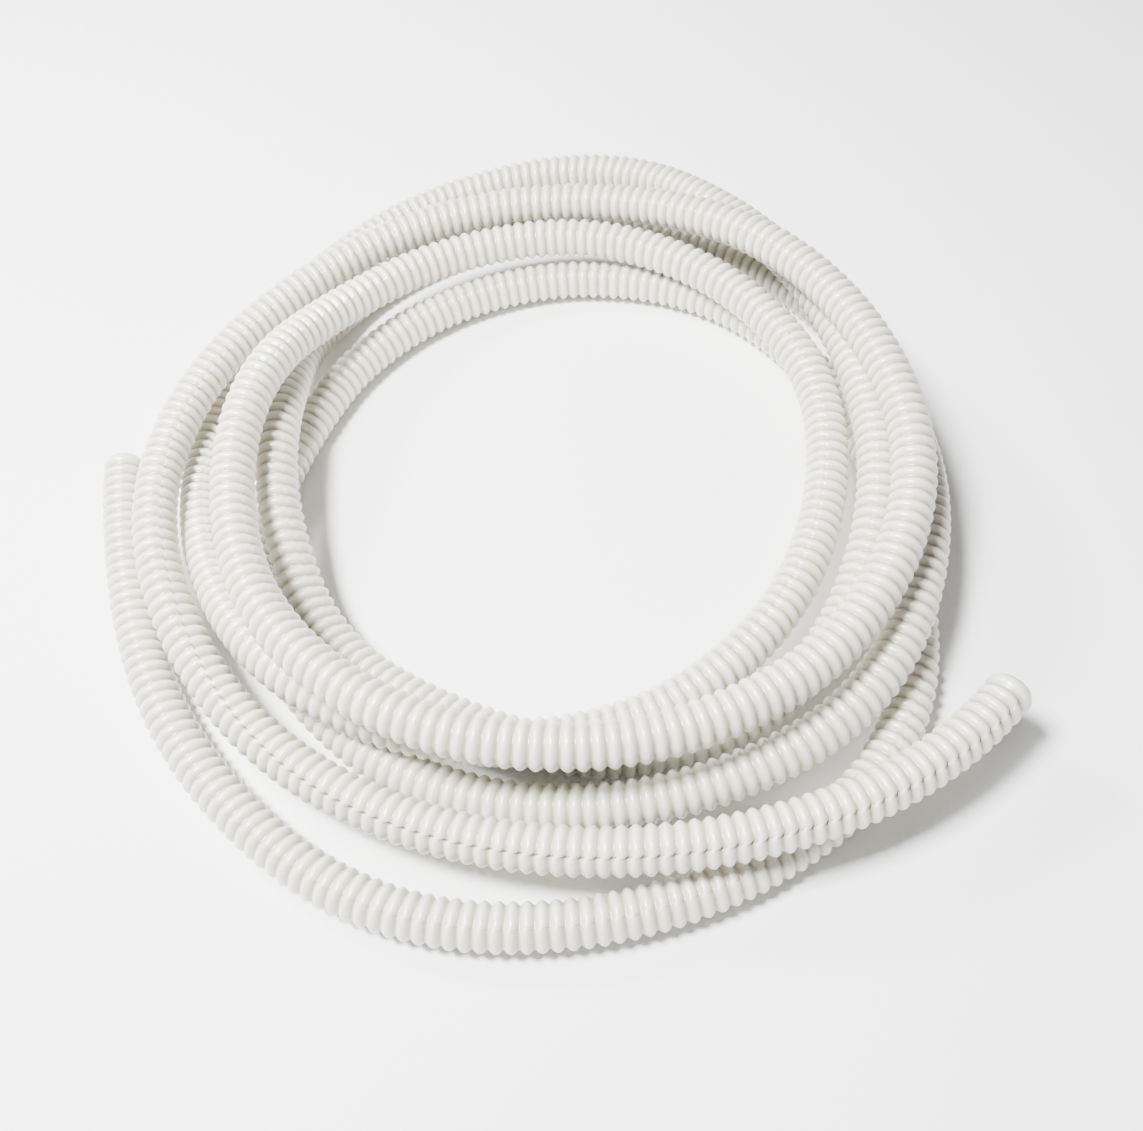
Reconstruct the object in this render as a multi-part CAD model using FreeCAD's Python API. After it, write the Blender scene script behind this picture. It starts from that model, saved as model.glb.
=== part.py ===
"""A vacuum hose: one corrugated plastic tube lying on the floor in a loose coil.

The hose is a single length with two plain cut ends. It is divided here into stretches that meet face to
face: a hollow straight length at each cut end, a tail behind each of them, and quarter turns named after
the side of the coil they lie on. The stretches between the ends are plain round rods over the ribs.
Millimetres, +Z up, the floor at Z = 0, +Y to the back of the coil, origin under the middle of the coil.
"""
import FreeCAD, Part
import math
import os

# ---- the hose itself ----
OUTER_DIAMETER = 39.0     # over the crests of the ribs
BORE_DIAMETER = 32.0      # inside the troughs, the size that a hose cuff plugs into
END_LENGTH = 50.0         # straight hollow length at each cut end

# ---- how the coil lies ----
COIL_CENTRE = (0.0, 8.0)  # X and Y of the point that every turn goes round
FIRST_STATION = -75.0     # degrees from +X, the first station after the right tail
STATION_STEP = -30.0      # degrees from one station to the next, clockwise from above
SIDES = ("front", "left", "back", "right")
# The centre line passes inside its route points, so they stand this much further out than its radius.
STATION_REACH = 1 / math.cos(math.radians(STATION_STEP / 2))
ARC_SHARE = 0.45          # share of the shorter run beside a bend that its arc takes up

# The right tail rides over the outermost strand: (X, Y, height of the centre line in hose diameters).
RIGHT_TAIL = [(385, -268, 1.7), (312, -340, 1.7)]

# One row of stations for each quarter turn, from the right tail inwards, down and out again.
# Each station is (radius of the centre line there, height of the centre line in hose diameters).
# Height 0.5 lies on the floor, about 1.5 lies on one strand, and about 2.6 lies on two.
TURNS = [
    [
        [(400, 1.6), (364, 1.2), (346, 1.0)],
        [(336, 1.8), (324, 1.6), (314, 1.5)],
        [(323, 1.6), (335, 1.7), (327, 2.6)],
        [(329, 2.9), (350, 2.8), (349, 2.5)],
    ],
    [
        [(330, 2.6), (309, 2.7), (285, 2.7)],
        [(256, 2.6), (241, 2.9), (246, 1.9)],
        [(269, 1.5), (291, 1.5), (289, 1.6)],
        [(290, 1.5), (278, 1.4), (285, 1.5)],
    ],
    [
        [(298, 1.6), (297, 1.5), (300, 1.6)],
        [(298, 1.0), (312, 0.5), (345, 0.5)],
        [(402, 0.5), (436, 0.9), (362, 1.8)],
        [(329, 1.7), (325, 1.6), (332, 0.6)],
    ],
    [
        [(309, 0.5), (257, 0.5), (244, 0.5)],
        [(223, 1.6), (228, 1.8), (290, 0.5)],
        [(322, 0.5), (355, 0.5), (372, 0.5)],
        [(362, 0.8), (368, 1.7), (388, 1.5)],
    ],
    [
        [(353, 0.9), (324, 0.5), (289, 0.5)],
        [(255, 0.5), (219, 0.5), (224, 0.5)],
        [(240, 0.5), (269, 0.5), (302, 0.5)],
        [(317, 0.5), (354, 0.5), (428, 0.5)],
    ],
    [
        [(430, 0.5), (431, 0.5), (393, 0.5)],
    ],
]

# The left tail leaves the last quarter at one more station, lies on the floor and points to the back.
LAST_STATIONS = [(370, 0.5)]
LEFT_TAIL = [(-388, 46, 0.5)]


def tail_points(tail):
    """Route points of a tail, as vectors."""
    return [FreeCAD.Vector(x, y, height * OUTER_DIAMETER) for x, y, height in tail]


def coil_points():
    """Route points of every turn, worked out from the stations' radii and heights."""
    stations = [station for turn in TURNS for quarter in turn for station in quarter] + LAST_STATIONS
    points = []
    for number, (radius, height) in enumerate(stations):
        angle = math.radians(FIRST_STATION + STATION_STEP * number)
        reach = radius * STATION_REACH
        x = COIL_CENTRE[0] + reach * math.cos(angle)
        y = COIL_CENTRE[1] + reach * math.sin(angle)
        points.append(FreeCAD.Vector(x, y, height * OUTER_DIAMETER))
    return points


def along(start, end, distance):
    """The point at a distance from start towards end."""
    return start + (end - start).normalize() * distance


def middle(start, end):
    """The point halfway between two others."""
    return (start + end) * 0.5


def bend_edges(start, before, corner, after, end):
    """A straight run, a tangent arc inside the corner, and a straight run, with the arc's radius."""
    shorter_run = min((corner - before).Length, (after - corner).Length)
    reach = ARC_SHARE * shorter_run
    incoming = (corner - before).normalize()
    outgoing = (after - corner).normalize()
    half_turn = incoming.getAngle(outgoing) / 2
    radius = reach / math.tan(half_turn)
    arc_start = corner - incoming * reach
    arc_end = corner + outgoing * reach
    inward = (outgoing - incoming).normalize()
    arc_middle = corner + inward * (radius / math.cos(half_turn) - radius)
    edges = [
        Part.LineSegment(start, arc_start).toShape(),
        Part.Arc(arc_start, arc_middle, arc_end).toShape(),
        Part.LineSegment(arc_end, end).toShape(),
    ]
    return edges, radius


def stretch_path(route, first, last, start, end):
    """The path from start to end round the route's points first to last, with its bend radii."""
    edges = []
    radii = []
    here = start
    for index in range(first, last + 1):
        there = end if index == last else middle(route[index], route[index + 1])
        new_edges, radius = bend_edges(here, route[index - 1], route[index], route[index + 1], there)
        edges.extend(new_edges)
        radii.append(radius)
        here = there
    return Part.Wire(edges), radii


def rod(path, start, direction):
    """A plain round rod over the ribs, swept along a path."""
    section = Part.Wire(Part.makeCircle(OUTER_DIAMETER / 2, start, direction))
    return path.makePipeShell([section], True, False)


def hollow_end(mouth, inner):
    """A straight hollow length from the mouth of the hose to the stretch behind it."""
    direction = inner - mouth
    outside = Part.makeCylinder(OUTER_DIAMETER / 2, END_LENGTH, mouth, direction)
    bore = Part.makeCylinder(BORE_DIAMETER / 2, END_LENGTH, mouth, direction)
    return outside.cut(bore)


def stretch_names():
    """The name, first route point and last route point of each stretch between the hollow ends."""
    index = len(RIGHT_TAIL)
    names = [("right_tail", 1, index - 1)]
    for turn_number, turn in enumerate(TURNS, start=1):
        for side, quarter in zip(SIDES, turn):
            names.append((f"turn_{turn_number}_{side}", index, index + len(quarter) - 1))
            index += len(quarter)
    names.append(("left_tail", index, index + len(LAST_STATIONS) - 1))
    return names


def main():
    os.makedirs("parts", exist_ok=True)
    route = tail_points(RIGHT_TAIL) + coil_points() + tail_points(LEFT_TAIL)
    right_inner = along(route[0], route[1], END_LENGTH)
    left_inner = along(route[-1], route[-2], END_LENGTH)
    shapes = {
        "right_end": hollow_end(route[0], right_inner),
        "left_end": hollow_end(route[-1], left_inner),
    }
    length = 2 * END_LENGTH
    section_area = math.pi * (OUTER_DIAMETER / 2) ** 2
    start = right_inner
    for name, first, last in stretch_names():
        is_last = last == len(route) - 2
        end = left_inner if is_last else middle(route[last], route[last + 1])
        path, radii = stretch_path(route, first, last, start, end)
        shapes[name] = rod(path, start, route[first] - route[first - 1])
        length += path.Length
        share = shapes[name].Volume / (section_area * path.Length)
        print(f"{name}: length {path.Length:.0f}, volume share {share:.4f}, radii", [round(r) for r in radii])
        start = end
    for name, shape in shapes.items():
        if not shape.isValid():
            raise RuntimeError(f"{name} is not a valid solid")
        shape.exportStep(f"parts/{name}.step")
    print(f"hose length {length:.0f} in {len(shapes)} nodes")


main()
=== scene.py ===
"""A white corrugated vacuum hose lying on the floor in a loose coil of a few turns.

The hose is one long moulded tube: rounded ribs all the way along, a moulding seam down each side, and
two plain cut ends. Metres, +Z up, the floor at Z = 0, in the frame of the CAD model.
"""
import math

import bpy
import numpy as np
from mathutils import Matrix, Vector


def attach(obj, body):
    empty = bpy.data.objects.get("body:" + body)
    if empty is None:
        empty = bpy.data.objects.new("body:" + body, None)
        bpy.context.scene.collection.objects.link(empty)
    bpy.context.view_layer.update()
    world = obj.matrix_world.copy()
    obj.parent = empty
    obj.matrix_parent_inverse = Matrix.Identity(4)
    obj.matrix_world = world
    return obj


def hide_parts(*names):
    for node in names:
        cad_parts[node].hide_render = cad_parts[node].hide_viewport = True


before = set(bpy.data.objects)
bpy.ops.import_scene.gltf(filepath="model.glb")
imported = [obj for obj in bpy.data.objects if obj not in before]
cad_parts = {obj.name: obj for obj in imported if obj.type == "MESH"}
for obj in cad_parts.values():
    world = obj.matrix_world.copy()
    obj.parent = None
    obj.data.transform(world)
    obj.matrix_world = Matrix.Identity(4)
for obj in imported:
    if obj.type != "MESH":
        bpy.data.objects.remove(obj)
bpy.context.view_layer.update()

# ---- the hose ----
OUTER_DIAMETER = 0.039      # over the crests of the ribs
RIB_PITCH = 0.0113          # from one rib to the next
RIB_DEPTH = 0.0034          # from crest to trough
RIB_SLIMNESS = 0.6          # lower is a broader crest and a narrower trough
END_RIB = 1.2               # length of the rib at each cut end, in pitches
WALL = 0.0007               # thickness of the plastic
SEAM_SHIFT = 0.2            # how far one mould half is out of step with the other, in pitches
SEAM_GROOVE = 0.00025       # depth of the line where the mould halves met
SEAM_HALF_WIDTH = 1.5       # degrees around the hose from the seam's middle to its edge
HALF_SIDES = 26       # points round each mould half
RINGS_PER_RIB = 10
INSIDE_RIBS = 12            # ribs that show inside each open end
SAME_PLACE = 1e-7           # metres, nearer points on the centre line count as one
CURVE_STEPS = 24            # points read off the centre line for each run of the route

# ---- the plastic: linear colours from a trough to a crest; the darker trough and flank colours are painted shade ----
TROUGH_PAINTED_SHADE_COLOUR = (0.36, 0.335, 0.25, 1.0)
FLANK_PAINTED_SHADE_COLOUR = (0.61, 0.585, 0.48, 1.0)
CREST_COLOUR = (0.75, 0.735, 0.65, 1.0)
SEAM_PAINTED_SHADOW = (0.26, 0.245, 0.20, 1.0)       # painted shadow of the step between the mould halves: multiplies the colour in the seam's dashes in the troughs
GLOSS_RANGE = (0.26, 0.40)                  # roughness, where the plastic is shiniest and dullest
PLASTIC_IOR = 1.49

# ---- the studio ----
FLOOR_REACH = 6.0                           # metres from the origin to the floor's sides
FLOOR_DROP = 0.0005                         # metres that the floor lies under the hose
FLOOR_COLOUR = (0.95, 0.95, 0.95)
LIGHTS_AIM = (0.0, 0.0, 0.05)
SKY_STRENGTH = 0.3
CAMERA_PLACE = (0.041, -0.667, 0.893)
CAMERA_LENS = 36.2                          # millimetres, on a 36 mm wide sensor
LOOK_DOWN = 57.0                            # degrees below the horizon
CAMERA_ROLL = -3.0                          # degrees round the line of sight

# ---- how the coil lies: the same points as the CAD model's route ----
COIL_CENTRE = (0.0, 0.008)
FIRST_STATION = -75.0
STATION_STEP = -30.0
# The centre line passes inside its route points, so they stand this much further out than its radius.
STATION_REACH = 1 / math.cos(math.radians(STATION_STEP / 2))

RIGHT_TAIL = [(0.385, -0.268, 1.7), (0.312, -0.340, 1.7)]

# Each station is (radius of the centre line there, height of the centre line in hose diameters).
TURNS = [
    [
        (0.400, 1.6), (0.364, 1.2), (0.346, 1.0), (0.336, 1.8), (0.324, 1.6), (0.314, 1.5),
        (0.323, 1.6), (0.335, 1.7), (0.327, 2.6), (0.329, 2.9), (0.350, 2.8), (0.349, 2.5),
    ],
    [
        (0.330, 2.6), (0.309, 2.7), (0.285, 2.7), (0.256, 2.6), (0.241, 2.9), (0.246, 1.9),
        (0.269, 1.5), (0.291, 1.5), (0.289, 1.6), (0.290, 1.5), (0.278, 1.4), (0.285, 1.5),
    ],
    [
        (0.298, 1.6), (0.297, 1.5), (0.300, 1.6), (0.298, 1.0), (0.312, 0.5), (0.345, 0.5),
        (0.402, 0.5), (0.436, 0.9), (0.362, 1.8), (0.329, 1.7), (0.325, 1.6), (0.332, 0.6),
    ],
    [
        (0.309, 0.5), (0.257, 0.5), (0.244, 0.5), (0.223, 1.6), (0.228, 1.8), (0.290, 0.5),
        (0.322, 0.5), (0.355, 0.5), (0.372, 0.5), (0.362, 0.8), (0.368, 1.7), (0.388, 1.5),
    ],
    [
        (0.353, 0.9), (0.324, 0.5), (0.289, 0.5), (0.255, 0.5), (0.219, 0.5), (0.224, 0.5),
        (0.240, 0.5), (0.269, 0.5), (0.302, 0.5), (0.317, 0.5), (0.354, 0.5), (0.428, 0.5),
    ],
    [
        (0.430, 0.5), (0.431, 0.5), (0.393, 0.5),
    ],
]

LAST_STATIONS = [(0.370, 0.5)]
LEFT_TAIL = [(-0.388, 0.046, 0.5)]

# How the seam wanders round the hose, and how strongly it shows, which is clearest near the right end:
# (metres from the right end, degrees from the top to the inside of the coil, strength from 0 to 1).
SEAM_WANDER = [
    (0.0, -36, 0.7), (0.2, -36, 1.0), (0.60, -34, 1.0), (0.83, 30, 0.8), (1.1, 36, 0.4), (1.9, 50, 0.3),
    (2.4, 30, 0.3), (2.9, 40, 0.3), (3.4, 22, 0.35), (3.9, 14, 0.5), (4.6, 22, 0.35), (5.5, 40, 0.35),
    (6.1, 15, 0.35), (6.5, 25, 0.45), (7.6, 35, 0.3), (8.6, 15, 0.3), (9.4, 15, 0.35), (10.1, -16, 0.5),
    (11.0, -25, 0.4),
]


def route_points():
    """Every point of the hose's route, from the right end to the left end."""
    points = [Vector((x, y, height * OUTER_DIAMETER)) for x, y, height in RIGHT_TAIL]
    stations = [station for turn in TURNS for station in turn] + LAST_STATIONS
    for number, (radius, height) in enumerate(stations):
        angle = math.radians(FIRST_STATION + STATION_STEP * number)
        reach = radius * STATION_REACH
        x = COIL_CENTRE[0] + reach * math.cos(angle)
        y = COIL_CENTRE[1] + reach * math.sin(angle)
        points.append(Vector((x, y, height * OUTER_DIAMETER)))
    points += [Vector((x, y, height * OUTER_DIAMETER)) for x, y, height in LEFT_TAIL]
    return points


def centre_line(points):
    """Points along the smooth curve that has the route's points as its control points."""
    curve = bpy.data.curves.new("hose_route", "CURVE")
    curve.dimensions = "3D"
    curve.resolution_u = CURVE_STEPS
    spline = curve.splines.new("NURBS")
    spline.points.add(len(points) - 1)
    for control, point in zip(spline.points, points):
        control.co = (*point, 1.0)
    spline.order_u = 3
    spline.use_endpoint_u = True
    guide = bpy.data.objects.new("hose_route", curve)
    bpy.context.scene.collection.objects.link(guide)
    line = bpy.data.meshes.new_from_object(guide)
    places = np.array([vertex.co[:] for vertex in line.vertices])
    bpy.data.objects.remove(guide)
    bpy.data.meshes.remove(line)
    bpy.data.curves.remove(curve)
    return places


class CentreLine:
    """The hose's centre line, asked by distance from the right end."""

    def __init__(self, places):
        steps = np.linalg.norm(np.diff(places, axis=0), axis=1)
        places = places[np.concatenate([[True], steps > SAME_PLACE])]
        steps = steps[steps > SAME_PLACE]
        self.places = places
        self.distances = np.concatenate([[0.0], np.cumsum(steps)])
        self.length = self.distances[-1]
        headings = np.gradient(places, self.distances, axis=0)
        self.headings = headings / np.linalg.norm(headings, axis=1)[:, None]

    def at(self, distances):
        """Places, and the upward and inward directions across the hose, at the distances."""
        columns = range(3)
        places = np.stack([np.interp(distances, self.distances, self.places[:, c]) for c in columns], 1)
        ahead = np.stack([np.interp(distances, self.distances, self.headings[:, c]) for c in columns], 1)
        ahead /= np.linalg.norm(ahead, axis=1)[:, None]
        up = np.array([0.0, 0.0, 1.0]) - ahead[:, 2:3] * ahead
        up /= np.linalg.norm(up, axis=1)[:, None]
        inward = np.cross(ahead, up)
        return places, up, inward


def rib_height(ribs):
    """How far the wall stands out, 0 in a trough and 1 on a crest, where troughs are at whole ribs."""
    return (0.5 - 0.5 * np.cos(2.0 * math.pi * ribs)) ** RIB_SLIMNESS


def rib_ladder(length):
    """Rib counts and distances of every ring, from the trough at one cut end to that at the other."""
    between = round(length / RIB_PITCH - 2 * END_RIB)
    pitch = length / (between + 2 * END_RIB)
    ribs = np.linspace(0.0, between + 2.0, (between + 2) * RINGS_PER_RIB + 1)
    marks = [0.0, 1.0, between + 1.0, between + 2.0]
    places = [0.0, END_RIB * pitch, length - END_RIB * pitch, length]
    return ribs, np.interp(ribs, marks, places)


def seam_course(distances):
    """Angle of the seam from the top of the hose towards the inside, in radians, and its strength."""
    marks = np.array(SEAM_WANDER, dtype=float)
    fine = np.arange(marks[0, 0], marks[-1, 0], 0.01)
    window = np.hanning(21)
    smooth = []
    for column in (1, 2):
        values = np.pad(np.interp(fine, marks[:, 0], marks[:, column]), 10, mode="edge")
        smooth.append(np.convolve(values, window / window.sum(), mode="valid"))
    return np.radians(np.interp(distances, fine, smooth[0])), np.interp(distances, fine, smooth[1])


def skin_rings(line, distances, heights, drop):
    """Rings of points for one skin of the hose, drop below the outer skin, with their rib heights."""
    half = np.radians(np.linspace(SEAM_HALF_WIDTH, 180.0 - SEAM_HALF_WIDTH, HALF_SIDES))
    angles = np.concatenate([half, half + math.pi])
    second_half = np.repeat([0.0, 1.0], HALF_SIDES)
    beside_seam = np.zeros(2 * HALF_SIDES)
    beside_seam[[0, HALF_SIDES - 1, HALF_SIDES, 2 * HALF_SIDES - 1]] = 1.0
    tilt, strength = seam_course(distances)
    fade = np.clip(np.minimum(distances, line.length - distances) / (2 * RIB_PITCH), 0.0, 1.0)
    shifted = distances + SEAM_SHIFT * RIB_PITCH * fade * strength
    places, up, inward = line.at(distances)
    places_b, up_b, inward_b = line.at(shifted)
    radius = OUTER_DIAMETER / 2 - drop - RIB_DEPTH * (1.0 - heights)
    around = tilt[:, None] + angles[None, :]
    pick = second_half[None, :, None]
    centre = places[:, None] * (1 - pick) + places_b[:, None] * pick
    rise = up[:, None] * (1 - pick) + up_b[:, None] * pick
    reach = inward[:, None] * (1 - pick) + inward_b[:, None] * pick
    seam = strength[:, None] * beside_seam[None, :]
    radii = radius[:, None] - SEAM_GROOVE * seam * (drop == 0)
    outward = np.cos(around)[..., None] * rise + np.sin(around)[..., None] * reach
    points = centre + radii[..., None] * outward
    height = np.repeat(heights[:, None], len(angles), axis=1)
    return points, height, seam


def hose_mesh(line):
    """The hose as one closed skin: outside from end to end, over the rim, and back along the inside."""
    ribs, distances = rib_ladder(line.length)
    heights = rib_height(ribs)
    ribbed_inside = (ribs < INSIDE_RIBS) | (ribs > ribs[-1] - INSIDE_RIBS)
    in_trough = np.arange(len(ribs)) % (2 * RINGS_PER_RIB) == 0
    inner = np.flatnonzero(ribbed_inside | in_trough)[::-1]
    skins = [
        skin_rings(line, distances, heights, 0.0),
        skin_rings(line, distances[inner], heights[inner], WALL),
    ]
    points = np.concatenate([skin[0] for skin in skins])
    ribs = np.concatenate([skin[1] for skin in skins])
    seams = np.concatenate([skin[2] for skin in skins])
    rings, sides = points.shape[:2]
    index = np.arange(rings * sides).reshape(rings, sides)
    ahead = np.roll(index, -1, axis=0)
    faces = np.stack([index, ahead, np.roll(ahead, -1, axis=1), np.roll(index, -1, axis=1)], axis=-1)
    faces = faces.reshape(-1, 4)
    mesh = bpy.data.meshes.new("hose")
    mesh.vertices.add(rings * sides)
    mesh.vertices.foreach_set("co", points.astype(np.float32).ravel())
    mesh.loops.add(faces.size)
    mesh.loops.foreach_set("vertex_index", faces.astype(np.int32).ravel())
    mesh.polygons.add(len(faces))
    mesh.polygons.foreach_set("loop_start", np.arange(0, faces.size, 4, dtype=np.int32))
    mesh.polygons.foreach_set("use_smooth", np.ones(len(faces), dtype=bool))
    for name, values in (("rib", ribs), ("seam", seams)):
        layer = mesh.attributes.new(name, "FLOAT", "POINT")
        layer.data.foreach_set("value", values.astype(np.float32).ravel())
    mesh.update(calc_edges=True)
    mesh.validate()
    return mesh


def hose_plastic():
    """Off-white glossy plastic, a little see-through, with painted shade greying the troughs and flanks
    and a painted shadow in dashes along the seam.
    """
    material = bpy.data.materials.new("hose_plastic")
    material.use_nodes = True
    nodes = material.node_tree.nodes
    links = material.node_tree.links
    shader = nodes["Principled BSDF"]
    place = nodes.new("ShaderNodeTexCoord")
    rib = nodes.new("ShaderNodeAttribute")
    rib.attribute_name = "rib"
    seam = nodes.new("ShaderNodeAttribute")
    seam.attribute_name = "seam"
    # painted shade: the colour darkens from crest to trough by rib height, standing in for the shade in
    # the troughs
    rib_painted_shade = nodes.new("ShaderNodeValToRGB")
    rib_painted_shade.color_ramp.elements[0].position = 0.0
    rib_painted_shade.color_ramp.elements[0].color = TROUGH_PAINTED_SHADE_COLOUR
    rib_painted_shade.color_ramp.elements[1].position = 0.9
    rib_painted_shade.color_ramp.elements[1].color = CREST_COLOUR
    middle = rib_painted_shade.color_ramp.elements.new(0.45)
    middle.color = FLANK_PAINTED_SHADE_COLOUR
    cloud = nodes.new("ShaderNodeTexNoise")
    cloud.inputs["Scale"].default_value = 22.0
    cloud.inputs["Detail"].default_value = 4.0
    speck = nodes.new("ShaderNodeTexNoise")
    speck.inputs["Scale"].default_value = 900.0
    speck.inputs["Detail"].default_value = 3.0
    cloudy = nodes.new("ShaderNodeMix")
    cloudy.data_type = "RGBA"
    cloudy.blend_type = "MULTIPLY"
    cloudy.inputs["Factor"].default_value = 0.10
    # painted shadow: dark dashes where the seam crosses the troughs, standing in for the shadow under
    # the step between the mould halves
    seam_shadow_mix = nodes.new("ShaderNodeMix")
    seam_shadow_mix.data_type = "RGBA"
    seam_shadow_mix.blend_type = "MULTIPLY"
    seam_shadow_mix.inputs["B"].default_value = SEAM_PAINTED_SHADOW
    in_trough = nodes.new("ShaderNodeMapRange")
    in_trough.inputs["From Min"].default_value = 0.35
    in_trough.inputs["From Max"].default_value = 0.75
    in_trough.inputs["To Min"].default_value = 1.0
    in_trough.inputs["To Max"].default_value = 0.0
    seam_shadow_core = nodes.new("ShaderNodeMath")
    seam_shadow_core.operation = "POWER"
    seam_shadow_core.inputs[1].default_value = 2.5
    seam_shadow_dash = nodes.new("ShaderNodeMath")
    seam_shadow_dash.operation = "MULTIPLY"
    gloss = nodes.new("ShaderNodeMapRange")
    gloss.inputs["To Min"].default_value = GLOSS_RANGE[0]
    gloss.inputs["To Max"].default_value = GLOSS_RANGE[1]
    bump = nodes.new("ShaderNodeBump")
    bump.inputs["Strength"].default_value = 0.12
    bump.inputs["Distance"].default_value = 0.0003
    links.new(place.outputs["Object"], cloud.inputs["Vector"])
    links.new(place.outputs["Object"], speck.inputs["Vector"])
    links.new(rib.outputs["Fac"], rib_painted_shade.inputs["Fac"])
    links.new(rib_painted_shade.outputs["Color"], cloudy.inputs["A"])
    links.new(cloud.outputs["Color"], cloudy.inputs["B"])
    links.new(cloudy.outputs["Result"], seam_shadow_mix.inputs["A"])
    links.new(rib.outputs["Fac"], in_trough.inputs["Value"])
    links.new(in_trough.outputs["Result"], seam_shadow_dash.inputs[0])
    links.new(seam.outputs["Fac"], seam_shadow_core.inputs[0])
    links.new(seam_shadow_core.outputs["Value"], seam_shadow_dash.inputs[1])
    links.new(seam_shadow_dash.outputs["Value"], seam_shadow_mix.inputs["Factor"])
    links.new(seam_shadow_mix.outputs["Result"], shader.inputs["Base Color"])
    links.new(cloud.outputs["Fac"], gloss.inputs["Value"])
    links.new(gloss.outputs["Result"], shader.inputs["Roughness"])
    links.new(speck.outputs["Fac"], bump.inputs["Height"])
    links.new(bump.outputs["Normal"], shader.inputs["Normal"])
    shader.inputs["IOR"].default_value = PLASTIC_IOR
    shader.inputs["Specular IOR Level"].default_value = 1.0
    shader.inputs["Subsurface Weight"].default_value = 0.1
    shader.inputs["Subsurface Radius"].default_value = (1.0, 0.95, 0.8)
    shader.inputs["Subsurface Scale"].default_value = 0.003
    return material


def build_hose():
    """The hose, riding on the one body and standing for every CAD stretch."""
    line = CentreLine(centre_line(route_points()))
    hose = bpy.data.objects.new("hose", hose_mesh(line))
    bpy.context.scene.collection.objects.link(hose)
    hose.data.materials.append(hose_plastic())
    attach(hose, "root")
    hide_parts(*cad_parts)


def plain_material(name, colour, roughness):
    """A plain surface for the studio, with a faint mottle."""
    material = bpy.data.materials.new(name)
    material.use_nodes = True
    nodes = material.node_tree.nodes
    shader = nodes["Principled BSDF"]
    mottle = nodes.new("ShaderNodeTexNoise")
    mottle.inputs["Scale"].default_value = 3.0
    ramp = nodes.new("ShaderNodeValToRGB")
    ramp.color_ramp.elements[0].color = (*[channel * 0.985 for channel in colour], 1.0)
    ramp.color_ramp.elements[1].color = (*colour, 1.0)
    material.node_tree.links.new(mottle.outputs["Fac"], ramp.inputs["Fac"])
    material.node_tree.links.new(ramp.outputs["Color"], shader.inputs["Base Color"])
    shader.inputs["Roughness"].default_value = roughness
    shader.inputs["Specular IOR Level"].default_value = 0.1
    return material


def build_floor():
    """A wide pale floor under the hose."""
    reach = FLOOR_REACH
    mesh = bpy.data.meshes.new("floor")
    corners = [(-reach, -reach, 0.0), (reach, -reach, 0.0), (reach, reach, 0.0), (-reach, reach, 0.0)]
    mesh.from_pydata(corners, [], [(0, 1, 2, 3)])
    floor = bpy.data.objects.new("floor", mesh)
    floor.location.z = -FLOOR_DROP
    bpy.context.scene.collection.objects.link(floor)
    mesh.materials.append(plain_material("floor_white", FLOOR_COLOUR, 0.9))


def area_light(name, place, aim, size, power):
    """A square soft light at a place, aimed at a point."""
    data = bpy.data.lights.new(name, "AREA")
    data.shape = "SQUARE"
    data.size = size
    data.energy = power
    light = bpy.data.objects.new(name, data)
    light.location = place
    light.rotation_euler = (Vector(aim) - Vector(place)).to_track_quat("-Z", "Y").to_euler()
    bpy.context.scene.collection.objects.link(light)


def build_lights():
    """A soft light high over the left side, a lower one behind on the left, and a pale sky."""
    area_light("overhead", (-0.8, -0.3, 2.1), LIGHTS_AIM, 0.5, 260.0)
    area_light("back_left", (-1.5, 1.0, 1.7), LIGHTS_AIM, 0.5, 85.0)
    world = bpy.data.worlds.new("studio")
    world.use_nodes = True
    sky = world.node_tree.nodes["Background"]
    sky.inputs["Color"].default_value = (1.0, 1.0, 1.0, 1.0)
    sky.inputs["Strength"].default_value = SKY_STRENGTH
    bpy.context.scene.world = world


def build_camera():
    """Looks down on the coil from the front, over the centre, tilted a little to one side."""
    data = bpy.data.cameras.new("camera")
    data.sensor_width = 36.0
    data.lens = CAMERA_LENS
    data.clip_start = 0.05
    camera = bpy.data.objects.new("camera", data)
    look_down = math.radians(LOOK_DOWN)
    roll = math.radians(CAMERA_ROLL)
    turn = Matrix.Rotation(math.pi / 2 - look_down, 4, "X") @ Matrix.Rotation(roll, 4, "Z")
    camera.matrix_world = Matrix.Translation(CAMERA_PLACE) @ turn
    bpy.context.scene.collection.objects.link(camera)
    bpy.context.scene.camera = camera


build_hose()
build_floor()
build_lights()
build_camera()
